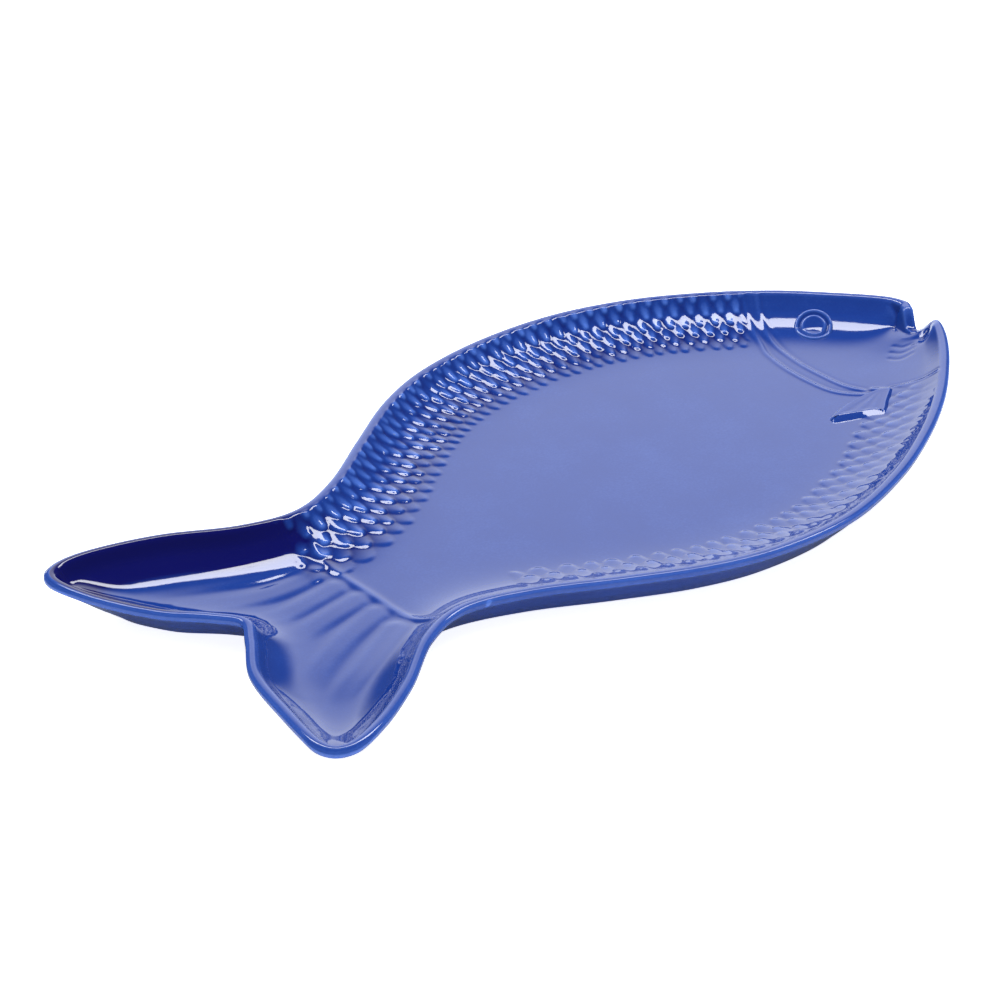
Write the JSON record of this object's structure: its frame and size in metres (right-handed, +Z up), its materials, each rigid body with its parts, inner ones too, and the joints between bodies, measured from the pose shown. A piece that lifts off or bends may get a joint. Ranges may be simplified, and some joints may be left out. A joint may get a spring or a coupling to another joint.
{
  "type": "fish shaped platter",
  "caption": "Shallow glazed serving platter in the shape of a fish, with a forked tail, a scaled wall and a raised eye and fin.",
  "frame": {"origin": "middle of the plan's bounding box, on the table that the foot stands on", "axes": "+X towards the fish's head, +Y towards its back, +Z up out of the well"},
  "size_m": [0.4494, 0.2286, 0.021],
  "materials": {
    "cobalt_glaze": "high gloss cobalt blue glaze",
    "bare_clay": "matt unglazed foot"
  },
  "bodies": {
    "root": {"platter_body": "cobalt_glaze", "foot_ring": "bare_clay", "tail_foot": "bare_clay", "gill_cords": "cobalt_glaze", "tail_band": "cobalt_glaze", "tail_rays": "cobalt_glaze", "eye_ring": "cobalt_glaze", "eye_pupil": "cobalt_glaze", "pectoral_fin": "cobalt_glaze", "scales_back": "cobalt_glaze", "scales_belly": "cobalt_glaze", "mouth_wrinkles": "cobalt_glaze"}
  },
  "joints": []
}
